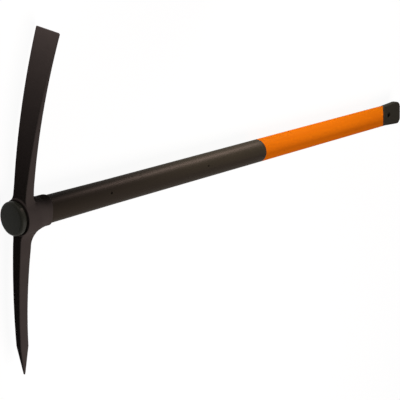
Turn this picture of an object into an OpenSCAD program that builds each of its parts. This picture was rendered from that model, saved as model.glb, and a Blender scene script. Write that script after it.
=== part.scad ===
// Pick axe with a forged steel head, a composite handle and a moulded grip.
// The tool lies on its side: +X runs along the handle from the eye cap to the butt,
// +Y points along the adze and +Z is up. The origin is the centre of the eye cap's face.

/* [Overall] */
// Length from the eye cap's face to the end of the butt
overall_l = 940; // [860:5:1000]

/* [Eye cap] */
// Diameter of the cap in front of the eye
cap_d = 46.5; // [44:0.5:48]
// Height of the cap in front of the head
cap_t = 11.5; // [9:0.5:14]
// Rounding of the cap's front edge
cap_edge_r = 4.5; // [2:0.5:6]
// Length of the cap's spigot inside the handle
cap_spigot_l = 32; // [20:1:40]

/* [Eye] */
// Diameter of the boss that the two arms grow from
boss_d = 50; // [48:0.5:52]
// Length of the boss before it tapers into the collar
boss_l = 17; // [14:0.5:20]
// Diameter of the collar around the shaft
collar_d = 42.5; // [42.5:0.5:46]
// Length of the eye from the cap to the end of the collar
eye_l = 52.5; // [48:0.5:60]
// Length of the collar's even end, behind its taper
collar_lip_l = 14; // [12:0.5:18]
// How much shorter the collar is at its two sides
lip_scallop = 8.5; // [4:0.5:11]
// Depth of the socket that takes the shaft's full diameter
socket_l = 29; // [22:0.5:32]

/* [Adze] */
// Reach of the blade from the handle's axis
adze_reach = 248; // [220:1:270]
// Width of the cutting edge
adze_edge_w = 44.5; // [36:0.5:50]
// Width of the blade where it leaves the boss
adze_root_w = 26; // [20:0.5:32]
// Distance from the axis at which the blade starts to widen
adze_root_y = 42; // [36:1:60]
// How far the cutting edge sweeps back toward the handle
adze_sweep = 31.5; // [20:0.5:40]
// Distance from the axis to the waist of the blade's back
adze_waist_y = 65; // [50:1:80]
// Thickness of the blade at its waist
adze_waist_t = 12; // [9:0.5:14]
// Thickness of the blade at its cutting edge
adze_edge_t = 2.5; // [1.5:0.5:4]
// Rounding of the cutting edge's upper corner
adze_corner_r = 4; // [1:0.5:6]
// Fillet between the blade's back and the collar
adze_fillet_r = 12; // [5:0.5:16]

/* [Point] */
// Reach of the point from the handle's axis
pick_reach = 246; // [220:1:270]
// Length of the four sided tip
pick_tip_l = 48; // [35:1:60]
// Width of the arm where it leaves the boss
pick_root_w = 16.5; // [14:0.5:20]
// Distance from the axis at which the arm starts to narrow
pick_root_y = 48; // [36:1:60]
// Width of the arm where the tip starts
pick_end_w = 10.5; // [8:0.5:13]
// How far the arm's front face sweeps back toward the handle
pick_sweep = 22; // [14:0.5:30]
// Distance from the axis to the waist of the arm's back
pick_waist_y = 70; // [50:1:80]
// Thickness of the arm at its waist
pick_waist_t = 17.5; // [14:0.5:20]
// Thickness of the arm where the tip starts
pick_end_t = 14.5; // [12:0.5:16]
// Width and thickness of the blunted tip
pick_tip_t = 2.5; // [1.5:0.5:4]
// Fillet between the arm's back and the collar
pick_fillet_r = 13; // [8:0.5:22]

/* [Shaft] */
// Diameter of the shaft between its flare and the grip
shaft_d = 37; // [35:0.5:38]
// Diameter of the shaft where it enters the collar
shaft_flare_d = 38.4; // [38:0.1:38.8]
// Length over which the flare fades out
shaft_flare_l = 115; // [60:5:160]
// Outer diameter of the glass fibre core tube
core_d = 26; // [24:0.5:28]
// Bore of the core tube
core_bore_d = 16; // [12:0.5:18]
// Diameter of the jacket's tenon inside the eye
tenon_d = 31.6; // [30:0.2:32]
// Thickness of the resin between the tenon and the eye
resin_t = 1; // [0.6:0.1:1.4]
// Diameter of the two marks that the mould's core pins leave
pin_mark_d = 4; // [2:0.5:6]
// Depth of a core pin mark
pin_mark_depth = 1.2; // [0.6:0.1:2]
// Distance from the cap's face to the first core pin mark
pin_mark_x = 168; // [120:1:220]
// Distance between the two core pin marks
pin_mark_spacing = 207; // [150:1:240]
// Turn of the core pin marks from the top toward the adze
pin_mark_turn = 22; // [0:1:90]

/* [Grip] */
// Length of the grip sleeve from its front edge to its farthest point
grip_l = 372; // [300:2:400]
// Thickness of the grip sleeve, which lies flush in the shaft
grip_t = 2; // [1.5:0.1:2.5]
// How much shorter the sleeve is on its two flat sides
grip_tongue_l = 27; // [15:1:32]

/* [Butt] */
// Length of the end cap behind the sleeve's farthest point
butt_l = 51; // [40:1:65]
// Diameter of the flared end, before its two flats
butt_d = 41.8; // [38:0.2:44]
// Turn of the butt's flats from the top toward the adze
butt_turn = 11; // [0:1:45]
// Thickness of the paddle between its two flats
paddle_t = 12; // [9:0.5:16]
// Rounding of the paddle's corners
paddle_corner_r = 12; // [5:0.5:14]
// Width of the band that the end cap shows before it slopes to the paddle
butt_band_l = 5; // [3:0.5:8]
// Diameter of the hanging hole
hang_hole_d = 10; // [6:0.5:12]
// Distance from the end of the butt to the hanging hole
hang_hole_inset = 38.5; // [20:0.5:42]
// Length of the end cap's spigot inside the core tube
butt_spigot_l = 60; // [40:1:90]
// Length of the end cap's plug inside the sleeve, ahead of the sleeve's tongues
butt_plug_l = 5; // [3:0.5:10]

/* [Hidden] */
// Clearance between pieces that slide together and are bonded
bond_gap = 0.1;
// Step from the boss's face back to the front faces of the arms
face_step = 1.5;
// Rounding of the cutting edge's lower corner
adze_low_corner_r = 1;
// Fillet between the boss and the sides of the arms
web_fillet_r = 18;
// How far that fillet runs into the boss
web_sink = 0.4;
// How much nearer the end the tip's two sides bend than its front and back
tip_stagger = 1.5;
// Extra reach of every cut past the surface that it leaves
overrun = 1;
// Smoothness of the round pieces and of the long arcs
round_fn = 128;
arc_fn = 720;

cap_r = cap_d / 2;
boss_r = boss_d / 2;
collar_r = collar_d / 2;
shaft_r = shaft_d / 2;
core_r = core_d / 2;
core_bore_r = core_bore_d / 2;
tenon_r = tenon_d / 2;
eye_r = tenon_r + resin_t;
flare_r = shaft_flare_d / 2;
socket_r = flare_r + bond_gap;
face_x = cap_t + face_step;
lip_x = cap_t + eye_l;
socket_x = lip_x - socket_l;

adze_front_r = arc_radius(adze_reach, adze_sweep);
adze_waist_x = face_x + arc_rise(adze_front_r, adze_waist_y) + adze_waist_t;
adze_back_r = arc_radius(adze_reach - adze_waist_y, face_x + adze_sweep + adze_edge_t - adze_waist_x);

pick_front_r = arc_radius(pick_reach, pick_sweep);
pick_tip_y = pick_reach - pick_tip_l;
pick_waist_x = face_x + arc_rise(pick_front_r, pick_waist_y) + pick_waist_t;
pick_tip_front_x = face_x + arc_rise(pick_front_r, pick_tip_y);
pick_tip_back_x = pick_tip_front_x + pick_end_t;
pick_back_r = arc_radius(pick_tip_y - pick_waist_y, pick_tip_back_x - pick_waist_x);
pick_tip_slope = pick_tip_y / (pick_front_r - arc_rise(pick_front_r, pick_tip_y));
pick_tip_x = (pick_tip_front_x + pick_tip_back_x) / 2 + pick_tip_l * pick_tip_slope;

grip_end_x = overall_l - butt_l;
grip_x = grip_end_x - grip_l;
grip_bore_r = shaft_r - grip_t;
tongue_x = grip_end_x - grip_tongue_l;
tube_end_x = tongue_x - butt_plug_l;
clear_x = tube_end_x - overrun;
tongue_slope = grip_tongue_l / shaft_r;
butt_r = butt_d / 2;
paddle_x = tongue_x + butt_band_l + tongue_slope * (shaft_r - paddle_t / 2);

// Radius of an arc that starts level and rises by rise over a run
function arc_radius(run, rise) = (run * run + rise * rise) / (2 * rise);

// Rise of such an arc after a run
function arc_rise(radius, run) = radius - sqrt(radius * radius - run * run);

// A profile of [radius, distance along the handle] turned about the handle's axis
module turned() {
    rotate([0, 90, 0]) rotate_extrude($fn = round_fn) children();
}

// A ring of the turned pieces, as its half section
module ring_section(inner_r, outer_r, from_x, to_x) {
    translate([inner_r, from_x]) square([outer_r - inner_r, to_x - from_x]);
}

// A front view of [z, y] pushed through the whole depth of the head
module through_head() {
    rotate([0, 90, 0]) linear_extrude(height = lip_x + boss_d) children();
}

// A side view of [x, y] pushed through the whole width of the head
module across_head() {
    linear_extrude(height = boss_d + adze_edge_w, center = true) children();
}

// Side view of an arm between its front and back arcs, from the axis past a reach that its front view ends
module arm_side(reach, front_r, waist_x, waist_y, back_r) {
    difference() {
        intersection() {
            translate([face_x + front_r, 0]) circle(r = front_r, $fn = arc_fn);
            square([waist_x + back_r, reach + overrun]);
        }
        translate([waist_x + back_r, waist_y]) circle(r = back_r, $fn = arc_fn);
    }
}

// Side view of the fillet between an arm's back and the collar
module root_fillet(back_x, fillet_r) {
    difference() {
        translate([back_x - fillet_r / 2, 0]) square([fillet_r + fillet_r / 2, collar_r + fillet_r]);
        translate([back_x + fillet_r, collar_r + fillet_r]) circle(r = fillet_r, $fn = round_fn);
    }
}

// Front view of the webs that spread an arm of a half width into the boss
module root_webs(half_w) {
    web_z = half_w + web_fillet_r;
    web_y = sqrt(pow(boss_r + web_fillet_r - web_sink, 2) - web_z * web_z);
    for (side = [0, 1]) mirror([side, 0]) difference() {
        polygon([[0, 0], [0, web_y], [web_z, web_y]]);
        translate([web_z, web_y]) circle(r = web_fillet_r, $fn = round_fn);
    }
}

// Front view of what a corner at the origin loses to a rounding
module corner_waste(corner_r) {
    difference() {
        translate([-corner_r, -corner_r]) square(corner_r + overrun);
        translate([-corner_r, -corner_r]) circle(r = corner_r, $fn = round_fn);
    }
}

// Front view of the adze, with its two corners at the cutting edge
module adze_front() {
    half_root = adze_root_w / 2;
    half_edge = adze_edge_w / 2;
    difference() {
        polygon([[half_root, 0], [half_root, adze_root_y], [half_edge, adze_reach],
            [-half_edge, adze_reach], [-half_root, adze_root_y], [-half_root, 0]]);
        mirror([1, 0]) translate([half_edge, adze_reach]) corner_waste(adze_corner_r);
        translate([half_edge, adze_reach]) corner_waste(adze_low_corner_r);
    }
    root_webs(half_root);
}

module adze() {
    intersection() {
        across_head() union() {
            arm_side(adze_reach, adze_front_r, adze_waist_x, adze_waist_y, adze_back_r);
            root_fillet(adze_waist_x, adze_fillet_r);
        }
        through_head() adze_front();
    }
}

// Front view of the pick arm and its tip
module pick_front() {
    half_root = pick_root_w / 2;
    half_end = pick_end_w / 2;
    half_tip = pick_tip_t / 2;
    bend_y = pick_tip_y + tip_stagger;
    polygon([[half_root, 0], [half_root, pick_root_y], [half_end, bend_y], [half_tip, pick_reach],
        [-half_tip, pick_reach], [-half_end, bend_y], [-half_root, pick_root_y], [-half_root, 0]]);
    root_webs(half_root);
}

// Side view of what the tip loses on one face, from where that face bends to where it ends
module tip_waste(bend_x, end_x, far_x) {
    slope = (end_x - bend_x) / pick_tip_l;
    from_y = pick_tip_y - overrun;
    to_y = pick_reach + overrun;
    polygon([[far_x, from_y], [bend_x - slope * overrun, from_y], [end_x + slope * overrun, to_y], [far_x, to_y]]);
}

// The pick arm is drawn along +Y and turned over to the other side
module pick() {
    half_tip = pick_tip_t / 2;
    mirror([0, 1, 0]) intersection() {
        across_head() difference() {
            union() {
                arm_side(pick_reach, pick_front_r, pick_waist_x, pick_waist_y, pick_back_r);
                root_fillet(pick_waist_x, pick_fillet_r);
            }
            tip_waste(pick_tip_front_x, pick_tip_x - half_tip, 0);
            tip_waste(pick_tip_back_x, pick_tip_x + half_tip, lip_x + boss_d);
        }
        through_head() pick_front();
    }
}

// Boss and collar, with the collar's end scalloped at its two sides
module eye_socket() {
    boss_end_x = cap_t + boss_l;
    rough_x = lip_x + overrun;
    scallop_r = arc_radius(collar_r, lip_scallop);
    difference() {
        turned() polygon([[0, cap_t], [boss_r, cap_t], [boss_r, boss_end_x],
            [collar_r, lip_x - collar_lip_l], [collar_r, rough_x], [0, rough_x]]);
        difference() {
            translate([lip_x - scallop_r, -boss_r, -boss_r]) cube([scallop_r + boss_r, boss_d, boss_d]);
            translate([lip_x - scallop_r, 0, 0]) rotate([90, 0, 0])
                cylinder(r = scallop_r, h = boss_d + overrun, center = true, $fn = round_fn);
        }
    }
}

// Forged head: adze, point, boss and collar in one piece, with a stepped eye
module pick_head() {
    color("#3a3634") difference() {
        union() {
            eye_socket();
            adze();
            pick();
        }
        turned() ring_section(0, eye_r, cap_t - overrun, socket_x + overrun);
        turned() ring_section(0, socket_r, socket_x, lip_x + boss_r);
    }
}

// Cured resin between the handle's tenon and the eye
module eye_bond() {
    color("#8a7a4a") turned() ring_section(tenon_r, eye_r, cap_t, socket_x);
}

// Cap that closes the eye, plugged into the core tube
module eye_cap() {
    color("#262622") turned() {
        ring_section(0, cap_r - cap_edge_r, 0, cap_t);
        ring_section(0, cap_r, cap_edge_r, cap_t);
        translate([cap_r - cap_edge_r, cap_edge_r]) circle(r = cap_edge_r, $fn = round_fn);
        ring_section(0, core_bore_r - bond_gap, 0, cap_t + cap_spigot_l);
    }
}

// Pultruded glass fibre tube that carries the load
module handle_core() {
    color("#c9bd8f") turned() ring_section(core_bore_r, core_r, cap_t, tube_end_x);
}

// Moulded jacket over the core: tenon, shoulder, flared shaft and the seat of the grip
module handle_jacket() {
    shoulder_x = socket_x + bond_gap;
    color("#322d27") difference() {
        turned() polygon([[core_r, cap_t], [tenon_r, cap_t], [tenon_r, shoulder_x], [flare_r, shoulder_x],
            [flare_r, lip_x], [shaft_r, lip_x + shaft_flare_l], [shaft_r, grip_x], [grip_bore_r, grip_x],
            [grip_bore_r, tube_end_x], [core_r, tube_end_x]]);
        for (mark = [0, 1]) translate([pin_mark_x + mark * pin_mark_spacing, 0, 0])
            rotate([-pin_mark_turn, 0, 0]) translate([0, 0, shaft_r - pin_mark_depth])
                cylinder(d = pin_mark_d, h = pin_mark_depth + flare_r - shaft_r + overrun, $fn = round_fn);
    }
}

// Side view of [x, z] on everything ahead of the sleeve's slanted end, moved back by a set distance
module ahead_of_tongues(set_back) {
    nose_x = grip_end_x + set_back;
    side_x = tongue_x + set_back;
    polygon([[grip_x, -shaft_r], [side_x, -shaft_r], [nose_x, 0], [side_x, shaft_r], [grip_x, shaft_r]]);
}

// A side view of [x, z] pushed through the whole width of the handle
module across_handle() {
    rotate([90, 0, 0]) linear_extrude(height = butt_d + shaft_d, center = true) children();
}

// Grip sleeve, cut short on its upper and lower sides
module grip_sleeve() {
    color("#e87a0c") rotate([-butt_turn, 0, 0]) intersection() {
        turned() ring_section(grip_bore_r, shaft_r, grip_x, grip_end_x);
        across_handle() ahead_of_tongues(0);
    }
}

// Side view of the end cap: a band behind the sleeve, two slopes and the paddle's flats
module butt_side() {
    half_t = paddle_t / 2;
    band_x = tongue_x + butt_band_l;
    rough_x = overall_l + overrun;
    polygon([[clear_x, -shaft_r], [band_x, -shaft_r], [paddle_x, -half_t], [rough_x, -half_t],
        [rough_x, half_t], [paddle_x, half_t], [band_x, shaft_r], [clear_x, shaft_r]]);
}

// Plan view of the paddle's end with its rounded corners
module butt_plan() {
    corner_x = overall_l - paddle_corner_r;
    corner_y = butt_r - paddle_corner_r;
    translate([clear_x, -butt_r]) square([corner_x - clear_x, butt_d]);
    translate([clear_x, -corner_y]) square([overall_l - clear_x, 2 * corner_y]);
    for (side = [-1, 1]) translate([corner_x, side * corner_y]) circle(r = paddle_corner_r, $fn = round_fn);
}

// End cap: spigot in the core, plug in the sleeve and a flared paddle with the hanging hole
module end_cap() {
    hole_x = overall_l - hang_hole_inset;
    rough_x = overall_l + overrun;
    color("#2c2a26") rotate([-butt_turn, 0, 0]) difference() {
        union() {
            intersection() {
                turned() union() {
                    ring_section(0, grip_bore_r - bond_gap, tube_end_x, grip_end_x);
                    polygon([[0, tongue_x], [shaft_r, tongue_x], [shaft_r, grip_end_x],
                        [butt_r, overall_l - paddle_corner_r], [butt_r, rough_x], [0, rough_x]]);
                }
                across_handle() butt_side();
                linear_extrude(height = butt_d + overrun, center = true) butt_plan();
            }
            turned() ring_section(0, core_bore_r - bond_gap, tube_end_x - butt_spigot_l, tongue_x);
        }
        intersection() {
            turned() ring_section(grip_bore_r - bond_gap, shaft_r + overrun, tube_end_x, grip_end_x + overrun);
            across_handle() ahead_of_tongues(bond_gap);
        }
        translate([hole_x, 0, 0]) cylinder(d = hang_hole_d, h = butt_d, center = true, $fn = round_fn);
    }
}

pick_head();
eye_bond();
eye_cap();
handle_core();
handle_jacket();
grip_sleeve();
end_cap();
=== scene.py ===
"""Looks of the pick axe: the forged head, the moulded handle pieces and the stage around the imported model."""

import math

import bpy
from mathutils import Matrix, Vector


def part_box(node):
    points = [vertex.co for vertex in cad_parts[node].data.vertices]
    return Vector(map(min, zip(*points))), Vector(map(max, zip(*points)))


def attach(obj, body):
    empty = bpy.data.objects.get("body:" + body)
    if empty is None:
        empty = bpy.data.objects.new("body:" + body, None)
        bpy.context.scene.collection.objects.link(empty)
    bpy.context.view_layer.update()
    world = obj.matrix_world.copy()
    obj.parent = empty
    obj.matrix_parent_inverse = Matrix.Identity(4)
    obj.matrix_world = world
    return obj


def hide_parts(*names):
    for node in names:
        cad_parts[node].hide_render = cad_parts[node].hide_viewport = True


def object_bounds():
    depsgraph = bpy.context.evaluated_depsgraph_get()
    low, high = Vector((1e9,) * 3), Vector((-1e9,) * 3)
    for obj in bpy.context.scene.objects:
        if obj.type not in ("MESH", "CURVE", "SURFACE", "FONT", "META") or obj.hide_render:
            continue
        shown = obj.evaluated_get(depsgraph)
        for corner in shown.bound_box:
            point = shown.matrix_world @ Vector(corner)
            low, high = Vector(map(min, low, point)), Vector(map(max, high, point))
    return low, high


bl_info = {
    "name": "Pick axe",
    "version": (1, 0, 0),
    "blender": (4, 5, 0),
    "location": "3D View > Sidebar > Pick axe",
    "description": "Models a pick axe with a forged head and a composite handle",
    "category": "Add Mesh",
}

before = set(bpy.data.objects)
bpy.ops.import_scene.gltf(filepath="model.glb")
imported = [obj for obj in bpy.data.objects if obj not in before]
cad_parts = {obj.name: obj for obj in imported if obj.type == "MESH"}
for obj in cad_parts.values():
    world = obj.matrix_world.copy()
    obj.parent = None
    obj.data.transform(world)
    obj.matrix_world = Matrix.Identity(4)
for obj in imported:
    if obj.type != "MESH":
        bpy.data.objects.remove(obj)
CAD_LOW, CAD_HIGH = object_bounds()
HEAD_LOW, HEAD_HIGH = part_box("pick_head")
CAP_LOW, CAP_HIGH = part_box("eye_cap")
JACKET_LOW, JACKET_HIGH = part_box("handle_jacket")
GRIP_LOW, GRIP_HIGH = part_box("grip_sleeve")
BUTT_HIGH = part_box("end_cap")[1]

# Steps of the meshes
SIDES = 128
HOLE_SIDES = 64
MARK_SIDES = 32
QUARTER_STEPS = 8
RIM_STEPS = 4
ARM_STEPS = 20
DOME_STEPS = 6
FLARE_STEPS = 10
SHAFT_STEPS = 34
SLEEVE_STEPS = 30
FLOOR_CUTS = 3

# Rounds of smoothing after a remesh, and how far a point moves in each
HEAD_ROUNDS = 4
ROOT_ROUNDS = 30
BUTT_ROUNDS = 3
SMOOTH_SHARE = 0.5

# Tolerances in metres, and the decimals to which a place in the frame is exact
MERGE = 1e-6
SAME = 1e-5
FRAME_DECIMALS = 5

# Turns: a right angle, and the least turn of an edge that is bevelled
RIGHT = math.pi / 2
SHARP = math.radians(50)

# Lamps and camera
NEUTRAL_TINT = "#fff4f2"
SHEEN_TINT = "#ffddd0"
WARM_TINT = "#fffce0"
WHITE = (1.0, 1.0, 1.0, 1.0)
SENSOR_MM = 36.0
SIGHT_L = 100.0


# Properties


def length(name, description, default):
    """A length property in metres."""
    return bpy.props.FloatProperty(
        name=name, description=description, default=default, unit="LENGTH", subtype="DISTANCE", precision=5
    )


def factor(name, description, default):
    """A property between none and all."""
    return bpy.props.FloatProperty(
        name=name, description=description, default=default, min=0, max=1, subtype="FACTOR"
    )


def angle(name, description, degrees):
    """An angle property given in degrees."""
    return bpy.props.FloatProperty(
        name=name, description=description, default=math.radians(degrees), subtype="ANGLE"
    )


def power(name, description, watts):
    """A lamp's power property in watts."""
    return bpy.props.FloatProperty(name=name, description=description, default=watts, subtype="POWER")


def linear(code):
    """Turns an sRGB hex colour into the linear values that Blender's sockets hold, by the sRGB formula."""
    values = [int(code[at : at + 2], 16) / 255 for at in (1, 3, 5)]
    return [v / 12.92 if v <= 0.04045 else ((v + 0.055) / 1.055) ** 2.4 for v in values]


def colour(name, description, code):
    """A colour property given as an sRGB hex value."""
    return bpy.props.FloatVectorProperty(
        name=name, description=description, default=linear(code), size=3, subtype="COLOR", min=0, max=1
    )


class HeadSizes(bpy.types.PropertyGroup):
    boss_r: length("Boss radius", "Radius of the boss that both arms grow from", HEAD_HIGH.z)
    boss_l: length("Boss length", "Length of the boss before it tapers", 0.022)
    collar_r: length("Collar radius", "Radius of the collar around the shaft", 0.02125)
    collar_lip_l: length("Collar end", "Length of the even end of the collar", 0.014)
    scallop: length("Scallop", "How much shorter the collar is at its two sides", 0.0068)
    lip_trim: length("Lip trim", "How far the collar's end is trimmed back", 0.0017)
    lip_blend_l: length("Lip blend", "Length over which the roots' blend fades out toward the lip", 0.005)
    eye_r: length("Eye radius", "Radius of the eye at the cap", 0.0168)
    socket_r: length("Socket radius", "Radius of the socket around the shaft", 0.0193)
    socket_l: length("Socket depth", "Depth of the socket from the collar's end", 0.029)
    face_step: length("Face step", "Step from the boss's face back to the arms", 0.0015)
    web_r: length("Web fillet", "Fillet between the boss and the arms' sides", 0.018)
    adze_edge_w: length("Edge width", "Width of the cutting edge", 0.0445)
    adze_root_w: length("Blade root width", "Width of the blade at the boss", 0.026)
    adze_root_y: length("Blade root", "Distance at which the blade starts to widen", 0.042)
    adze_sweep: length("Blade sweep", "How far the cutting edge sweeps back", 0.0315)
    adze_waist_y: length("Blade waist", "Distance to the waist of the blade's back", 0.065)
    adze_waist_t: length("Blade thickness", "Thickness of the blade at its waist", 0.012)
    adze_edge_t: length("Edge thickness", "Thickness of the blade at its edge", 0.0025)
    adze_corner_r: length("Upper corner", "Rounding of the edge's upper corner", 0.004)
    adze_fillet_r: length("Blade fillet", "Fillet between the blade's back and the collar", 0.008)
    adze_blend: factor("Blade blend", "How softly the blade's root blends, as a share of the point's", 0.15)
    adze_overrun: length("Blade overrun", "How far the blade runs on before its edge is cut", 0.003)
    pick_tip_l: length("Tip length", "Length of the four sided tip", 0.048)
    pick_root_w: length("Point root width", "Width of the point's arm at the boss", 0.0165)
    pick_root_y: length("Point root", "Distance at which the arm starts to narrow", 0.048)
    pick_end_w: length("Point end width", "Width of the arm where its tip starts", 0.0105)
    pick_sweep: length("Point sweep", "How far the arm's front face sweeps back", 0.022)
    pick_waist_y: length("Point waist", "Distance to the waist of the arm's back", 0.07)
    pick_waist_t: length("Point thickness", "Thickness of the arm at its waist", 0.0175)
    pick_end_t: length("Point end thickness", "Thickness of the arm where its tip starts", 0.0145)
    pick_tip_t: length("Blunt tip", "Width of the blunted tip", 0.0025)
    pick_fillet_r: length("Point fillet", "Fillet between the arm's back and the collar", 0.0205)
    edge_r: length("Edge rounding", "Rounding that the die leaves on the arms' edges", 0.0012)
    skin: length("Skin", "Grain of the mesh that rounds the forging's edges", 0.0007)


class HandleSizes(bpy.types.PropertyGroup):
    cap_centre_r: length("Cap centre", "Radius of the small flat in the middle of the eye cap's face", 0.0008)
    cap_edge_r: length("Cap rounding", "Rounding of the eye cap's front edge", 0.0042)
    cap_dome: length("Cap dome", "How far the eye cap's face curves back at its rounding", 0.0005)
    cap_groove_w: length("Cap groove", "Width of the groove between the eye cap and the boss", 0.003)
    cap_groove_t: length("Cap groove depth", "Depth of the groove between the eye cap and the boss", 0.0025)
    core_r: length("Core radius", "Outer radius of the core tube", 0.013)
    core_bore_r: length("Core bore", "Radius of the core tube's bore", 0.008)
    tenon_r: length("Tenon radius", "Radius of the jacket's tenon in the eye", 0.0158)
    shaft_r: length("Shaft radius", "Radius of the shaft behind its flare", 0.0185)
    flare_l: length("Flare length", "Length over which the flare fades out", 0.115)
    gap: length("Bond gap", "Clearance between the bonded pieces", 0.0001)
    mark_r: length("Pin mark radius", "Radius of a core pin mark", 0.002)
    mark_x: length("Pin mark place", "Distance to the first core pin mark", 0.168)
    mark_spacing: length("Pin mark spacing", "Distance between the core pin marks", 0.207)
    mark_turn: angle("Pin mark turn", "Turn of the core pin marks toward the adze", 22)
    grip_t: length("Grip thickness", "Thickness of the grip sleeve", 0.002)
    tongue_l: length("Tongue length", "How much shorter the sleeve is on its flat sides", 0.027)
    edge_r: length("Edge rounding", "Rounding of the moulded edges", 0.0006)
    butt_r: length("Butt radius", "Radius of the flared end", 0.0209)
    butt_turn: angle("Butt turn", "Turn of the butt's flats toward the adze", 11)
    butt_band_l: length("Butt band", "Width of the band before the slopes", 0.005)
    paddle_t: length("Paddle thickness", "Thickness of the paddle between its flats", 0.012)
    paddle_corner_r: length("Paddle corners", "Rounding of the paddle's corners", 0.012)
    hole_r: length("Hole radius", "Radius of the hanging hole", 0.005)
    hole_inset: length("Hole inset", "Distance from the butt's end to the hole", 0.0385)
    plug_l: length("Plug length", "Length of the plug ahead of the tongues", 0.005)
    spigot_l: length("Spigot length", "Length of the spigot inside the core", 0.06)
    margin: length("Margin", "How far a cutting block stands clear of the sleeve", 0.1)
    skin: length("Skin", "Grain of the mesh that rounds the butt's edges", 0.0006)


class Finishes(bpy.types.PropertyGroup):
    coat: colour("Coat", "Dark coating of the forging", "#4a4442")
    coat_thin: colour("Thin coat", "Coating where it lies thin", "#544d4a")
    cap: colour("Cap", "Black plastic of the eye cap", "#26261f")
    butt: colour("Butt", "Black plastic of the butt", "#2f2c26")
    jacket: colour("Jacket", "Black plastic of the shaft", "#39332c")
    grip: colour("Grip", "Orange plastic of the grip", "#eb7a0e")
    grip_deep: colour("Deep grip", "Orange plastic where it is denser", "#e46e10")
    fibre: colour("Fibre", "Glass fibre of the core", "#c9bd8f")
    fibre_dark: colour("Resin rich fibre", "Resin between the fibre bundles", "#b3a36f")
    resin: colour("Resin", "Cured resin in the eye", "#8a7a4a")
    paper: colour("Paper", "Paper under the tool", "#606060")


class StageSizes(bpy.types.PropertyGroup):
    camera_place: bpy.props.FloatVectorProperty(
        name="Camera place",
        description="Where the camera stands",
        default=(-0.92990, 0.59607, 1.07033),
        size=3,
        subtype="TRANSLATION",
    )
    camera_turn: bpy.props.FloatVectorProperty(
        name="Camera turn",
        description="How the camera is turned",
        default=[math.radians(a) for a in (-28.111, -48.0905, 9.241)],
        size=3,
        subtype="EULER",
    )
    lens: bpy.props.FloatProperty(
        name="Lens", description="Focal length in millimetres", default=104.85, unit="CAMERA"
    )
    floor_w: length("Floor width", "Width of the paper under the tool", 9.0)
    floor_x: length("Floor place", "Where the middle of the paper lies along the handle", 0.4)
    floor_glow: factor("Paper white", "How white the paper shows in its shadows", 0.94)
    ambient: factor("Ambient", "Light of the room from all sides", 0.02)
    top_power: power("Top", "Power of the lamp overhead", 15.5)
    edge_power: power("Edge", "Power of the lamp beyond the cutting edge", 0.6)
    rim_power: power("Rim", "Power of the lamp that only shows as sheen along the shaft", 4.2)
    side_power: power("Side", "Power of the low lamp beside the grip", 15.2)


# Modelling helpers


def deselect():
    """Leaves nothing selected."""
    bpy.ops.object.select_all(action="DESELECT")


def take(piece):
    """Makes a piece the only selected one."""
    deselect()
    piece.select_set(True)
    bpy.context.view_layer.objects.active = piece


def place_in_mesh(name):
    """Names the new primitive and moves its place into its mesh."""
    bpy.ops.object.transform_apply(location=True, rotation=True, scale=True)
    made = bpy.context.object
    made.name = made.data.name = name
    return made


def apply_modifier(piece, kind, **settings):
    """Adds a modifier, sets it and applies it."""
    take(piece)
    made = piece.modifiers.new(kind.lower(), kind)
    for setting, value in settings.items():
        setattr(made, setting, value)
    bpy.ops.object.modifier_apply(modifier=made.name)


def cut(piece, cutter, operation="DIFFERENCE"):
    """Cuts a piece with another one and takes that one away."""
    apply_modifier(piece, "BOOLEAN", operation=operation, object=cutter, solver="EXACT")
    bpy.data.objects.remove(cutter, do_unlink=True)


def round_edges(piece, width, segments):
    """Rounds the sharp edges of a piece."""
    apply_modifier(piece, "BEVEL", width=width, segments=segments, limit_method="ANGLE", angle_limit=SHARP)


def reskin(piece, grain):
    """Covers a piece with one even skin."""
    apply_modifier(piece, "REMESH", mode="VOXEL", voxel_size=grain, use_smooth_shade=True)


def even_out(piece, rounds, group=""):
    """Smooths a skin all over, or by the weights of a vertex group."""
    apply_modifier(piece, "SMOOTH", factor=SMOOTH_SHARE, iterations=rounds, vertex_group=group)


def shade_smooth(piece, crease):
    """Shades a piece smooth, apart from edges that turn by more than a crease in degrees."""
    take(piece)
    bpy.ops.object.shade_smooth_by_angle(angle=math.radians(crease))


def outward():
    """In edit mode, merges doubles and turns all faces outward."""
    bpy.ops.mesh.select_all(action="SELECT")
    bpy.ops.mesh.remove_doubles(threshold=MERGE)
    bpy.ops.mesh.normals_make_consistent(inside=False)


def turn(name, profile, tube=False):
    """Turns a profile of (radius, distance along the handle) by extruding a ring along it.

    A tube's profile closes on itself.
    """
    deselect()
    radius, x = profile[0]
    bpy.ops.mesh.primitive_circle_add(
        vertices=SIDES, radius=radius, location=(x, 0, 0), rotation=(0, RIGHT, 0)
    )
    made = place_in_mesh(name)
    bpy.ops.object.mode_set(mode="EDIT")
    bpy.ops.mesh.select_all(action="SELECT")
    bpy.ops.transform.rotate(value=math.pi / SIDES, orient_axis="X", center_override=(x, 0, 0))
    if not tube:
        bpy.ops.mesh.edge_face_add()
    for next_radius, next_x in profile[1:] + (profile[:1] if tube else []):
        bpy.ops.mesh.extrude_region_move(TRANSFORM_OT_translate={"value": (next_x - x, 0, 0)})
        share = next_radius / radius
        bpy.ops.transform.resize(value=(1, share, share), center_override=(next_x, 0, 0))
        radius, x = next_radius, next_x
    outward()
    bpy.ops.object.mode_set(mode="OBJECT")
    return made


def arc(centre, radius, start, end, steps=QUARTER_STEPS):
    """Points of an arc in a profile, from one angle to another in degrees."""
    turns = [math.radians(start + (end - start) * i / steps) for i in range(steps + 1)]
    return [(centre[0] + radius * math.cos(a), centre[1] + radius * math.sin(a)) for a in turns]


def block(name, low, high):
    """A box between two corners, to cut with."""
    deselect()
    centre = [(a + b) / 2 for a, b in zip(low, high)]
    bpy.ops.mesh.primitive_cube_add(size=1, location=centre, scale=[b - a for a, b in zip(low, high)])
    return place_in_mesh(name)


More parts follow.
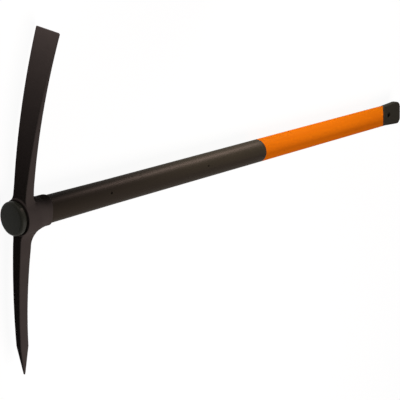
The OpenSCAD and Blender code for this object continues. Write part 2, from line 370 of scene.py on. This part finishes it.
def rod(name, radius, depth, place, turned=(0, 0, 0), sides=SIDES):
    """A round bar to cut with, which is upright unless it is turned."""
    deselect()
    bpy.ops.mesh.primitive_cylinder_add(
        vertices=sides, radius=radius, depth=depth, location=place, rotation=turned
    )
    return place_in_mesh(name)


def slice_off(piece, point, normal):
    """Cuts off what lies past a plane and closes the cut."""
    take(piece)
    facing = Vector(normal).normalized()
    bpy.ops.object.mode_set(mode="EDIT")
    bpy.ops.mesh.select_all(action="SELECT")
    bpy.ops.mesh.bisect(plane_co=point, plane_no=facing, use_fill=True, clear_outer=True, threshold=MERGE)
    bpy.ops.object.mode_set(mode="OBJECT")


def turn_flats(piece, toward_adze):
    """Turns a piece about the handle, from the top toward the adze."""
    take(piece)
    piece.rotation_euler.x = -toward_adze
    bpy.ops.object.transform_apply(location=False, rotation=True, scale=False)


def select_edges(piece, test):
    """Selects the edges that pass a test of their two ends, and stays in edit mode."""
    take(piece)
    bpy.ops.object.mode_set(mode="EDIT")
    bpy.ops.mesh.select_mode(type="EDGE")
    bpy.ops.mesh.select_all(action="DESELECT")
    bpy.ops.object.mode_set(mode="OBJECT")
    points = piece.data.vertices
    for edge in piece.data.edges:
        edge.select = test(*(points[i].co for i in edge.vertices))
    bpy.ops.object.mode_set(mode="EDIT")


def arc_radius(run, rise):
    """Radius of an arc that starts level and rises over a run."""
    return (run * run + rise * rise) / (2 * rise)


def arc_rise(radius, run):
    """Rise of such an arc after a run."""
    return radius - math.sqrt(radius * radius - run * run)


def ramp(run, full):
    """Share of a full run, between none and all."""
    return min(1.0, max(0.0, run / full))


def exact(place):
    """A place in the frame without the last digits of its mesh, so that cuts through it meet."""
    return round(place, FRAME_DECIMALS)


def loft(name, sections, side):
    """Extrudes a bar from one section to the next.

    A section is (front x, back x, distance from the axis, half width).
    """
    deselect()
    front, back, y, half_w = sections[0]
    middle = ((front + back) / 2, side * y, 0)
    bpy.ops.mesh.primitive_plane_add(size=1, location=middle, rotation=(RIGHT, 0, 0))
    made = place_in_mesh(name)
    bpy.ops.object.mode_set(mode="EDIT")
    bpy.ops.mesh.select_all(action="SELECT")
    bpy.ops.transform.resize(value=(back - front, 1, 2 * half_w), center_override=middle)
    for section in sections[1:]:
        next_front, next_back, next_y, next_half_w = section
        shift = (next_front + next_back - front - back) / 2
        bpy.ops.mesh.extrude_region_move(TRANSFORM_OT_translate={"value": (shift, side * (next_y - y), 0)})
        bpy.ops.transform.resize(
            value=((next_back - next_front) / (back - front), 1, next_half_w / half_w),
            center_override=((next_front + next_back) / 2, side * next_y, 0),
        )
        front, back, y, half_w = section
    outward()
    bpy.ops.object.mode_set(mode="OBJECT")
    return made


def hand_over(piece, name, material):
    """Gives a finished piece its name, finish and body, in place of its CAD node."""
    take(piece)
    piece.name = piece.data.name = name + "_skin"
    piece.data.materials.clear()
    piece.data.materials.append(material)
    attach(piece, "root")
    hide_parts(name)


# Node helpers


def add(tree, kind, links=None, **settings):
    """Adds a node, sets it, and links or sets its inputs."""
    made = tree.nodes.new(kind)
    for name, value in settings.items():
        setattr(made, name, value)
    for socket, value in (links or {}).items():
        if isinstance(value, bpy.types.NodeSocket):
            tree.links.new(value, made.inputs[socket])
        else:
            made.inputs[socket].default_value = value
    return made


def start_material(name):
    """A new material with an empty tree and its output."""
    made = bpy.data.materials.new(name)
    made.use_nodes = True
    made.node_tree.nodes.clear()
    return made, made.node_tree, made.node_tree.nodes.new("ShaderNodeOutputMaterial")


def per_metre(size_mm):
    """Scale of a pattern whose features have a real size in millimetres."""
    return 1000 / size_mm


def rgba(value):
    """A colour property as a socket's four values."""
    return (*value, 1.0)


def noise(tree, feature_mm, detail, rough=0.5, along_share=1.0):
    """Noise on the piece's own coordinates, drawn out where its scale along the handle is only a share."""
    where = add(tree, "ShaderNodeTexCoord").outputs["Object"]
    drawn = add(tree, "ShaderNodeMapping", {"Vector": where, "Scale": (along_share, 1.0, 1.0)})
    links = {
        "Vector": drawn.outputs["Vector"],
        "Scale": per_metre(feature_mm),
        "Detail": detail,
        "Roughness": rough,
    }
    return add(tree, "ShaderNodeTexNoise", links).outputs["Fac"]


def mixed(tree, share, low, high):
    """A colour between two. The mix node's inputs 6 and 7 and its output 2 are those for colours."""
    links = {0: share, 6: rgba(low), 7: rgba(high)}
    return add(tree, "ShaderNodeMix", links, data_type="RGBA").outputs[2]


def between(tree, share, low, high):
    """A value between two."""
    return add(tree, "ShaderNodeMapRange", {"Value": share, "To Min": low, "To Max": high}).outputs["Result"]


def relief(tree, height, strength, depth):
    """Bump of a depth in metres."""
    links = {"Height": height, "Strength": strength, "Distance": depth}
    return add(tree, "ShaderNodeBump", links).outputs["Normal"]


def set_surface(tree, out, links):
    """Ends a material's tree with its one shader."""
    shade = add(tree, "ShaderNodeBsdfPrincipled", links)
    tree.links.new(shade.outputs["BSDF"], out.inputs["Surface"])


def seen_directly(tree):
    """1 for rays of the camera and those that gloss or glass pass on, and 0 for all others."""
    path = add(tree, "ShaderNodeLightPath").outputs
    links = {0: path["Is Camera Ray"], 1: path["Is Glossy Ray"]}
    either = add(tree, "ShaderNodeMath", links, operation="ADD").outputs[0]
    links = {0: either, 1: path["Is Transmission Ray"]}
    return add(tree, "ShaderNodeMath", links, operation="ADD", use_clamp=True).outputs[0]


# Materials


def coated_forging(finish):
    """Drop forged steel under a dark baked coating: dull and faintly mottled, with fine pits of scale."""
    made, tree, out = start_material("forged_steel_dark_baked_coat")
    mottle = noise(tree, feature_mm=22, detail=4.0, rough=0.6)
    # scale pits are about 0.4 mm across and are drawn at 1.6 mm, so that they show
    pits = noise(tree, feature_mm=1.6, detail=3.0, rough=0.55)
    links = {
        "Base Color": mixed(tree, mottle, finish.coat, finish.coat_thin),
        "Roughness": between(tree, mottle, low=0.52, high=0.68),
        "Normal": relief(tree, pits, strength=0.12, depth=0.0004),
        "Specular IOR Level": 0.004,
    }
    set_surface(tree, out, links)
    return made


def moulded_plastic(name, base, level, rough, grain_mm, streak_mm):
    """Moulded black plastic: dyed, with faint flow streaks along the mould and its fine spark texture."""
    tone_share, rough_range = 0.1, 0.05
    made, tree, out = start_material(name)
    flow = noise(tree, feature_mm=streak_mm, detail=3.0, along_share=0.08)
    dark = [v * (1 - tone_share) for v in base]
    light = [min(1.0, v * (1 + tone_share)) for v in base]
    # spark texture is about 0.1 mm and is drawn coarser, so that it shows
    grain = noise(tree, feature_mm=grain_mm, detail=2.0)
    links = {
        "Base Color": mixed(tree, flow, dark, light),
        "Roughness": between(tree, flow, rough - rough_range, rough + rough_range),
        "Normal": relief(tree, grain, strength=0.06, depth=0.0002),
        "Specular IOR Level": level,
    }
    set_surface(tree, out, links)
    return made


def grip_plastic(finish):
    """Moulded orange polypropylene: satin, and a little deeper where the dye ran dense along the mould."""
    made, tree, out = start_material("orange_polypropylene_moulded")
    flow = noise(tree, feature_mm=9, detail=3.0, along_share=0.06)
    # spark texture is about 0.1 mm and is drawn coarser, so that it shows
    grain = noise(tree, feature_mm=0.9, detail=2.0)
    links = {
        "Base Color": mixed(tree, flow, finish.grip_deep, finish.grip),
        "Roughness": 0.5,
        "Normal": relief(tree, grain, strength=0.05, depth=0.0002),
        "Specular IOR Level": 0.001,
    }
    set_surface(tree, out, links)
    return made


def glass_fibre(finish):
    """Pultruded glass fibre in polyester: straw coloured, streaked by fibre bundles of about 1.5 mm."""
    made, tree, out = start_material("glass_fibre_pultruded")
    bundles = noise(tree, feature_mm=1.5, detail=3.0, along_share=0.02)
    links = {
        "Base Color": mixed(tree, bundles, finish.fibre_dark, finish.fibre),
        "Roughness": 0.45,
        "Normal": relief(tree, bundles, strength=0.2, depth=0.0002),
    }
    set_surface(tree, out, links)
    return made


def cured_resin(finish):
    """Cast polyester resin: glossy amber with small trapped bubbles of about 0.8 mm."""
    bubble_share = 1.2
    made, tree, out = start_material("polyester_resin_cast")
    where = add(tree, "ShaderNodeTexCoord").outputs["Object"]
    bubbles = add(tree, "ShaderNodeTexVoronoi", {"Vector": where, "Scale": per_metre(0.8)})
    bright = [v * bubble_share for v in finish.resin]
    tone = mixed(tree, bubbles.outputs["Distance"], bright, finish.resin)
    set_surface(tree, out, {"Base Color": tone, "Roughness": 0.2, "IOR": 1.55})
    return made


def studio_paper(finish, glow):
    """Matt paper that shows white to the camera and in reflections, and keeps the tool's shadow."""
    made, tree, out = start_material("studio_paper_matt")
    white = add(tree, "ShaderNodeMath", {0: seen_directly(tree), 1: glow}, operation="MULTIPLY")
    shine = add(tree, "ShaderNodeEmission", {"Strength": white.outputs[0]})
    paper = add(tree, "ShaderNodeBsdfDiffuse", {"Color": rgba(finish.paper)})
    both = add(tree, "ShaderNodeAddShader", {0: shine.outputs[0], 1: paper.outputs[0]})
    tree.links.new(both.outputs[0], out.inputs["Surface"])
    made.cycles.emission_sampling = "NONE"
    return made


# Pieces


def arm_sections(head, front_r, back_x, reach, width_at):
    """Sections of an arm from the axis to a reach, with the webs that join its sides to the boss."""
    face_x = HEAD_LOW.x + head.face_step
    web_z = width_at(0.0) + head.web_r
    web_y = math.sqrt((head.boss_r + head.web_r) ** 2 - web_z**2)
    low_y = web_y * head.boss_r / (head.boss_r + head.web_r)
    roots = [low_y + (web_y - low_y) * i / QUARTER_STEPS for i in range(QUARTER_STEPS)]
    places = [0.0] + roots + [web_y + (reach - web_y) * i / ARM_STEPS for i in range(ARM_STEPS + 1)]
    sections = []
    for y in places:
        near = max(y, low_y)
        half_w = width_at(near)
        if near < web_y:
            half_w = max(half_w, web_z - math.sqrt(head.web_r**2 - (web_y - near) ** 2))
        sections.append((face_x + arc_rise(front_r, near), back_x(near), y, half_w))
    return sections


def root_sections(head, back_x, width_at, fillet_r):
    """Sections of the wedge that fills the fillet between an arm's back and the collar."""
    front = HEAD_LOW.x + head.face_step + head.boss_l / 4
    fillet = arc((fillet_r, head.collar_r + fillet_r), fillet_r, 270, 180)
    sections = [(front, back_x(y) + rise, y, width_at(y)) for rise, y in fillet]
    return [(front, sections[0][1], 0.0, sections[0][3])] + sections


def model_adze(head):
    """The blade: widens and thins to its cutting edge, and runs past it until it is cut straight."""
    face_x = HEAD_LOW.x + head.face_step
    reach = HEAD_HIGH.y
    half_root, half_edge = head.adze_root_w / 2, head.adze_edge_w / 2
    front_r = arc_radius(reach, head.adze_sweep)
    waist_x = face_x + arc_rise(front_r, head.adze_waist_y) + head.adze_waist_t
    back_r = arc_radius(reach - head.adze_waist_y, face_x + head.adze_sweep + head.adze_edge_t - waist_x)

    def width_at(y):
        share = max(0.0, (y - head.adze_root_y) / (reach - head.adze_root_y))
        return half_root + (half_edge - half_root) * share

    def back_x(y):
        return waist_x + arc_rise(back_r, abs(y - head.adze_waist_y))

    blade = arm_sections(head, front_r, back_x, reach + head.adze_overrun, width_at)
    root = root_sections(head, back_x, width_at, head.adze_fillet_r)
    return [loft("adze", blade, 1), loft("adze_root", root, 1)]


def cut_edge(piece, head):
    """Cuts the blade to its straight edge and rounds the edge's upper corner."""
    reach, half_edge, round_r = HEAD_HIGH.y, head.adze_edge_w / 2, head.adze_corner_r
    slice_off(piece, (0, reach, 0), (0, 1, 0))
    deep = HEAD_HIGH.x
    corner = (0, reach - round_r, half_edge - round_r)
    waste = block("waste", corner, (deep, reach + round_r, half_edge + round_r))
    cut(waste, rod("corner", round_r, 3 * deep, corner, turned=(0, RIGHT, 0)))
    cut(piece, waste)


def model_pick(head):
    """The point's arm, which narrows to a four sided tip."""
    face_x = HEAD_LOW.x + head.face_step
    reach = -HEAD_LOW.y
    tip_y = reach - head.pick_tip_l
    half_root, half_end = head.pick_root_w / 2, head.pick_end_w / 2
    front_r = arc_radius(reach, head.pick_sweep)
    waist_x = face_x + arc_rise(front_r, head.pick_waist_y) + head.pick_waist_t
    tip_front = face_x + arc_rise(front_r, tip_y)
    tip_back = tip_front + head.pick_end_t
    back_r = arc_radius(tip_y - head.pick_waist_y, tip_back - waist_x)
    slope = tip_y / (front_r - arc_rise(front_r, tip_y))
    tip_x = (tip_front + tip_back) / 2 + head.pick_tip_l * slope

    def width_at(y):
        share = max(0.0, (y - head.pick_root_y) / (tip_y - head.pick_root_y))
        return half_root + (half_end - half_root) * share

    def back_x(y):
        return waist_x + arc_rise(back_r, abs(y - head.pick_waist_y))

    point = arm_sections(head, front_r, back_x, tip_y, width_at)
    half_tip = head.pick_tip_t / 2
    point.append((tip_x - half_tip, tip_x + half_tip, reach, half_tip))
    root = root_sections(head, back_x, width_at, head.pick_fillet_r)
    return [loft("point", point, -1), loft("point_root", root, -1)]


def model_boss(head):
    """The boss and the collar, whose end is scalloped at its two sides."""
    lip = HEAD_HIGH.x - head.lip_trim
    profile = [
        (head.boss_r, HEAD_LOW.x),
        (head.boss_r, HEAD_LOW.x + head.boss_l),
        (head.collar_r, lip - head.collar_lip_l),
        (head.collar_r, lip + head.boss_r),
    ]
    made = turn("boss", profile)
    scallop_r = arc_radius(head.collar_r, head.scallop)
    scallop_x = lip - scallop_r
    # the waste and the roller reach past the collar on all sides
    wide, high = 1.5 * head.boss_r, 1.1 * head.boss_r
    waste_low, waste_high = (scallop_x, -wide, -high), (lip + 2 * head.boss_r, wide, high)
    roller = rod(
        "scallop", scallop_r, 4 * head.boss_r, (scallop_x, 0, 0), turned=(RIGHT, 0, 0), sides=2 * SIDES
    )
    waste = block("waste", waste_low, waste_high)
    cut(waste, roller)
    cut(made, waste)
    return made


def blend_roots(piece, head):
    """Blends the arms' roots into the boss and the collar, as the die's rounded corners do."""
    group = piece.vertex_groups.new(name="roots")
    for point in piece.data.vertices:
        x, y = point.co[:2]
        inner = ramp(x - HEAD_LOW.x - head.boss_l / 3, head.boss_l)
        lip = ramp(HEAD_HIGH.x - head.collar_lip_l / 2 - x, head.lip_blend_l)
        outer = ramp(2 * head.boss_r - abs(y), head.boss_r)
        share = min(inner, lip, outer)
        group.add([point.index], share if y < 0 else share * head.adze_blend, "REPLACE")
    even_out(piece, ROOT_ROUNDS, group="roots")
    piece.vertex_groups.clear()


class PICKAXE_OT_forged_head(bpy.types.Operator):
    """Models the forged head: adze, point, boss and collar in one skin"""

    bl_idname = "pickaxe.forged_head"
    bl_label = "Forged head"

    def execute(self, context):
        head = context.scene.pick_axe_head
        arms = model_adze(head) + model_pick(head)
        for arm in arms:
            round_edges(arm, head.edge_r, segments=3)
        piece = model_boss(head)
        take(piece)
        for arm in arms:
            arm.select_set(True)
        bpy.ops.object.join()
        reskin(piece, head.skin)
        even_out(piece, HEAD_ROUNDS)
        blend_roots(piece, head)
        cut_edge(piece, head)
        socket_x = HEAD_HIGH.x - head.socket_l
        bore = [
            (head.eye_r, HEAD_LOW.x - head.boss_l),
            (head.eye_r, socket_x),
            (head.socket_r, socket_x),
            (head.socket_r, HEAD_HIGH.x + head.boss_r),
        ]
        cut(piece, turn("bore", bore))
        shade_smooth(piece, crease=50)
        hand_over(piece, "pick_head", coated_forging(context.scene.pick_axe_finish))
        return {"FINISHED"}


class PICKAXE_OT_eye_cap(bpy.types.Operator):
    """Models the round cap in front of the eye, with its softly domed face and its spigot"""

    bl_idname = "pickaxe.eye_cap"
    bl_label = "Eye cap"

    def execute(self, context):
        handle = context.scene.pick_axe_handle
        finish = context.scene.pick_axe_finish
        radius, back = CAP_HIGH.z, HEAD_LOW.x
        round_r, rim = handle.cap_edge_r, handle.edge_r
        flat_r = radius - round_r
        dome_shares = [i / DOME_STEPS for i in range(1, DOME_STEPS)]
        dome = [(flat_r * share, CAP_LOW.x + handle.cap_dome * share**2) for share in dome_shares]
        corner = arc((flat_r, handle.cap_dome + round_r), round_r, -90, 0)
        spigot_r = handle.core_bore_r - handle.gap
        groove, neck_r = back - handle.cap_groove_w, radius - handle.cap_groove_t
        tail = [(radius, groove - rim), (radius - rim, groove), (neck_r, groove), (neck_r, back)]
        tail += [(spigot_r, back), (spigot_r, CAP_HIGH.x - rim), (spigot_r - rim, CAP_HIGH.x)]
        piece = turn("cap", [(handle.cap_centre_r, CAP_LOW.x)] + dome + corner + tail)
        shade_smooth(piece, crease=35)
        plastic = moulded_plastic(
            "black_abs_moulded", finish.cap, level=0.11, rough=0.5, grain_mm=1.2, streak_mm=14
        )
        hand_over(piece, "eye_cap", plastic)
        return {"FINISHED"}


class PICKAXE_OT_handle_jacket(bpy.types.Operator):
    """Models the moulded jacket: tenon, flared shaft, seat of the grip and the core pin marks"""

    bl_idname = "pickaxe.handle_jacket"
    bl_label = "Handle jacket"

    def execute(self, context):
        handle = context.scene.pick_axe_handle
        head = context.scene.pick_axe_head
        finish = context.scene.pick_axe_finish
        flare_r, shaft_r, rim = JACKET_HIGH.z, handle.shaft_r, handle.edge_r
        lip, seat, end = HEAD_HIGH.x, GRIP_LOW.x, JACKET_HIGH.x
        shoulder = lip - head.socket_l + handle.gap
        seat_r = shaft_r - handle.grip_t
        flare_end = lip + handle.flare_l
        flare = [
            (shaft_r + (flare_r - shaft_r) * (1 - i / FLARE_STEPS), lip + handle.flare_l * i / FLARE_STEPS)
            for i in range(FLARE_STEPS + 1)
        ]
        plain_l = seat - rim - flare_end
        shaft = [(shaft_r, flare_end + plain_l * i / SHAFT_STEPS) for i in range(1, SHAFT_STEPS + 1)]
        profile = (
            [(handle.core_r, JACKET_LOW.x), (handle.tenon_r, JACKET_LOW.x), (handle.tenon_r, shoulder)]
            + [(flare_r, shoulder)]
            + flare
            + shaft
            + arc((shaft_r - rim, seat - rim), rim, 0, 90, RIM_STEPS)
            + [(seat_r, seat), (seat_r, end), (handle.core_r, end)]
        )
        piece = turn("jacket", profile, tube=True)
        mark_y, mark_z = shaft_r * math.sin(handle.mark_turn), shaft_r * math.cos(handle.mark_turn)
        for mark_x in (handle.mark_x, handle.mark_x + handle.mark_spacing):
            deselect()
            bpy.ops.mesh.primitive_uv_sphere_add(
                segments=MARK_SIDES,
                ring_count=MARK_SIDES // 2,
                radius=handle.mark_r,
                location=(mark_x, mark_y, mark_z),
            )
            cut(piece, place_in_mesh("pin"))
        shade_smooth(piece, crease=35)
        plastic = moulded_plastic(
            "black_polypropylene_moulded", finish.jacket, level=0.015, rough=0.48, grain_mm=1.0, streak_mm=8
        )
        hand_over(piece, "handle_jacket", plastic)
        return {"FINISHED"}


class PICKAXE_OT_grip_sleeve(bpy.types.Operator):
    """Models the orange sleeve, which is cut at a slant on its two flat sides"""

    bl_idname = "pickaxe.grip_sleeve"
    bl_label = "Grip sleeve"

    def execute(self, context):
        handle = context.scene.pick_axe_handle
        shaft_r, rim, margin = handle.shaft_r, handle.edge_r, handle.margin
        bore_r = shaft_r - handle.grip_t
        start, end = exact(GRIP_LOW.x), exact(GRIP_HIGH.x)
        even = end - handle.tongue_l
        even_l = even - start - rim
        past = end + handle.tongue_l
        profile = (
            [(bore_r, start)]
            + arc((shaft_r - rim, start + rim), rim, -90, 0, RIM_STEPS)
            + [(shaft_r, start + rim + even_l * i / SLEEVE_STEPS) for i in range(1, SLEEVE_STEPS + 1)]
            + [(shaft_r, past), (bore_r, past)]
        )
        piece = turn("sleeve", profile, tube=True)
        slope = handle.tongue_l / shaft_r
        keep = block("keep", (start - margin, -margin, -margin), (end + margin, margin, margin))
        for side in (-1, 1):
            slice_off(keep, (end, 0, 0), (1, 0, side * slope))
        cut(piece, keep, "INTERSECT")
        round_edges(piece, rim / 2, segments=2)
        turn_flats(piece, handle.butt_turn)
        shade_smooth(piece, crease=40)
        hand_over(piece, "grip_sleeve", grip_plastic(context.scene.pick_axe_finish))
        return {"FINISHED"}


class PICKAXE_OT_end_cap(bpy.types.Operator):
    """Models the butt: a flared flat paddle with the hanging hole, its plug and its spigot"""

    bl_idname = "pickaxe.end_cap"
    bl_label = "End cap"

    def execute(self, context):
        handle = context.scene.pick_axe_handle
        finish = context.scene.pick_axe_finish
        shaft_r, butt_r = handle.shaft_r, handle.butt_r
        nose, end = exact(GRIP_HIGH.x), exact(BUTT_HIGH.x)
        slope = handle.tongue_l / shaft_r
        even = nose - handle.tongue_l
        plug = even - handle.plug_l
        half_t = handle.paddle_t / 2
        band = even + handle.butt_band_l
        flat = band + slope * (shaft_r - half_t)
        wide = 2 * butt_r
        plug_r = shaft_r - handle.grip_t - handle.gap
        spigot_r = handle.core_bore_r - handle.gap
        spigot = [(spigot_r, plug - handle.spigot_l), (spigot_r, plug), (plug_r, plug), (plug_r, even)]
        paddle = [(shaft_r, even), (shaft_r, nose), (butt_r, end - handle.paddle_corner_r)]
        piece = turn("butt", spigot + paddle + [(butt_r, end + handle.plug_l)])
        # the room of the sleeve's tongues
        room = [(plug_r, plug - wide), (wide, plug - wide), (wide, end), (plug_r, end)]
        ahead = turn("ahead", room, tube=True)
        notch = block("notch", (plug - 2 * wide, -2 * wide, -2 * wide), (end, 2 * wide, 2 * wide))
        for side in (-1, 1):
            slice_off(notch, (nose + handle.gap, 0, 0), (1, 0, side * slope))
        cut(ahead, notch, "INTERSECT")
        cut(piece, ahead)
        # the slopes and the two flats
        for side in (-1, 1):
            low, high = sorted((side * half_t, side * wide))
            wedge = block("wedge", (band - wide, -wide, low), (end + wide, wide, high))
            slice_off(wedge, (flat, 0, side * half_t), (-1, 0, -side * slope))
            cut(piece, wedge)
        # the straight end with its rounded corners
        plan = block("plan", (plug - 3 * wide, -butt_r, -wide), (end, butt_r, wide))
        select_edges(plan, lambda a, b: min(a.x, b.x) > end - SAME and abs(a.y - b.y) < SAME)
        bpy.ops.mesh.bevel(offset=handle.paddle_corner_r, segments=2 * QUARTER_STEPS, affect="EDGES")
        bpy.ops.object.mode_set(mode="OBJECT")
        cut(piece, plan, "INTERSECT")
        cut(piece, rod("peg", handle.hole_r, wide, (end - handle.hole_inset, 0, 0), sides=HOLE_SIDES))
        reskin(piece, handle.skin)
        even_out(piece, BUTT_ROUNDS)
        turn_flats(piece, handle.butt_turn)
        plastic = moulded_plastic(
            "black_polypropylene_butt", finish.butt, level=0.02, rough=0.55, grain_mm=1.2, streak_mm=14
        )
        hand_over(piece, "end_cap", plastic)
        return {"FINISHED"}


class PICKAXE_OT_inner_pieces(bpy.types.Operator):
    """Finishes the core tube and the resin in the eye, which lie inside the tool"""

    bl_idname = "pickaxe.inner_pieces"
    bl_label = "Inner pieces"

    def execute(self, context):
        finish = context.scene.pick_axe_finish
        for name, material in (("handle_core", glass_fibre(finish)), ("eye_bond", cured_resin(finish))):
            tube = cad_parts[name]
            tube.data.materials.clear()
            tube.data.materials.append(material)
        return {"FINISHED"}


# Stage


def lay_paper(stage, finish):
    """The paper that the tool lies on."""
    deselect()
    bpy.ops.mesh.primitive_plane_add(size=stage.floor_w, location=(stage.floor_x, 0, CAD_LOW.z))
    floor = place_in_mesh("paper")
    bpy.ops.object.mode_set(mode="EDIT")
    bpy.ops.mesh.subdivide(number_cuts=FLOOR_CUTS)
    bpy.ops.object.mode_set(mode="OBJECT")
    floor.data.materials.append(studio_paper(finish, stage.floor_glow))


def hang_lamp(kind, name, place, target, watts, tint, **settings):
    """A lamp that points at a target and is hidden from the camera."""
    aim = (Vector(target) - Vector(place)).to_track_quat("-Z", "Y").to_euler()
    bpy.ops.object.light_add(type=kind, location=place, rotation=aim)
    lamp = bpy.context.object
    lamp.name = lamp.data.name = name
    lamp.data.energy = watts
    lamp.data.color = linear(tint)
    for setting, value in settings.items():
        setattr(lamp.data, setting, value)
    lamp.visible_camera = False
    return lamp


def hang_lamps(stage):
    """A large lamp overhead, a small one past the cutting edge, a sheen on the shaft and a low side lamp."""
    hang_lamp(
        "AREA",
        "top_lamp",
        place=(0.40, -0.60, 1.35),
        target=(0.40, 0.00, 0.00),
        watts=stage.top_power,
        tint=NEUTRAL_TINT,
        shape="RECTANGLE",
        size=1.0,
        size_y=1.0,
    )
    hang_lamp(
        "AREA",
        "edge_lamp",
        place=(-0.03, 0.46, 0.01),
        target=(0.04, 0.24, 0.00),
        watts=stage.edge_power,
        tint=NEUTRAL_TINT,
        shape="RECTANGLE",
        size=0.12,
        size_y=0.04,
    )
    rim = hang_lamp(
        "AREA",
        "rim_lamp",
        place=(0.95, 0.78, 0.01),
        target=(0.51, 0.00, 0.00),
        watts=stage.rim_power,
        tint=SHEEN_TINT,
        shape="RECTANGLE",
        size=0.3,
        size_y=0.05,
        spread=math.radians(44),
    )
    rim.visible_diffuse = False
    hang_lamp(
        "SPOT",
        "side_lamp",
        place=(0.66, 0.62, 0.04),
        target=(0.66, 0.00, 0.00),
        watts=stage.side_power,
        tint=WARM_TINT,
        spot_size=math.radians(84),
        spot_blend=0.7,
        shadow_soft_size=0.05,
    )


def set_camera(scene, stage):
    """The camera of the photo."""
    bpy.ops.object.camera_add(location=stage.camera_place, rotation=stage.camera_turn)
    camera = bpy.context.object
    camera.data.lens = stage.lens
    camera.data.sensor_width = SENSOR_MM
    camera.data.clip_end = SIGHT_L
    scene.camera = camera


def light_room(scene, stage):
    """A room that shows white to the camera and gives little light from all sides."""
    world = bpy.data.worlds.new("room")
    world.use_nodes = True
    tree = world.node_tree
    tree.nodes.clear()
    strength = between(tree, seen_directly(tree), stage.ambient, 1.0)
    room = add(tree, "ShaderNodeBackground", {"Strength": strength, "Color": WHITE})
    out = add(tree, "ShaderNodeOutputWorld")
    tree.links.new(room.outputs[0], out.inputs["Surface"])
    scene.world = world


class PICKAXE_OT_stage(bpy.types.Operator):
    """Sets up the paper, the lamps, the room's light and the camera"""

    bl_idname = "pickaxe.stage"
    bl_label = "Stage"

    def execute(self, context):
        stage = context.scene.pick_axe_stage
        lay_paper(stage, context.scene.pick_axe_finish)
        hang_lamps(stage)
        set_camera(context.scene, stage)
        light_room(context.scene, stage)
        context.scene.view_settings.view_transform = "Standard"
        return {"FINISHED"}


class PICKAXE_PT_panel(bpy.types.Panel):
    """Lists the pieces, their sizes and their finishes"""

    bl_idname = "PICKAXE_PT_panel"
    bl_label = "Pick axe"
    bl_space_type = "VIEW_3D"
    bl_region_type = "UI"
    bl_category = "Pick axe"

    def draw(self, context):
        for operator in OPERATORS:
            self.layout.operator(operator.bl_idname)
        for group in GROUPS:
            box = self.layout.box()
            holder = getattr(context.scene, group)
            for name in holder.bl_rna.properties.keys():
                if name not in ("rna_type", "name"):
                    box.prop(holder, name)


GROUPS = {
    "pick_axe_head": HeadSizes,
    "pick_axe_handle": HandleSizes,
    "pick_axe_finish": Finishes,
    "pick_axe_stage": StageSizes,
}
OPERATORS = (
    PICKAXE_OT_forged_head,
    PICKAXE_OT_eye_cap,
    PICKAXE_OT_handle_jacket,
    PICKAXE_OT_grip_sleeve,
    PICKAXE_OT_end_cap,
    PICKAXE_OT_inner_pieces,
    PICKAXE_OT_stage,
)


def register():
    for group in GROUPS.values():
        bpy.utils.register_class(group)
    for name, group in GROUPS.items():
        setattr(bpy.types.Scene, name, bpy.props.PointerProperty(type=group))
    for operator in OPERATORS:
        bpy.utils.register_class(operator)
    bpy.utils.register_class(PICKAXE_PT_panel)


def unregister():
    bpy.utils.unregister_class(PICKAXE_PT_panel)
    for operator in reversed(OPERATORS):
        bpy.utils.unregister_class(operator)
    for name in GROUPS:
        delattr(bpy.types.Scene, name)
    for group in reversed(list(GROUPS.values())):
        bpy.utils.unregister_class(group)


def main():
    register()
    bpy.ops.pickaxe.forged_head()
    bpy.ops.pickaxe.eye_cap()
    bpy.ops.pickaxe.handle_jacket()
    bpy.ops.pickaxe.grip_sleeve()
    bpy.ops.pickaxe.end_cap()
    bpy.ops.pickaxe.inner_pieces()
    bpy.ops.pickaxe.stage()
    deselect()


if __name__ == "__main__":
    main()
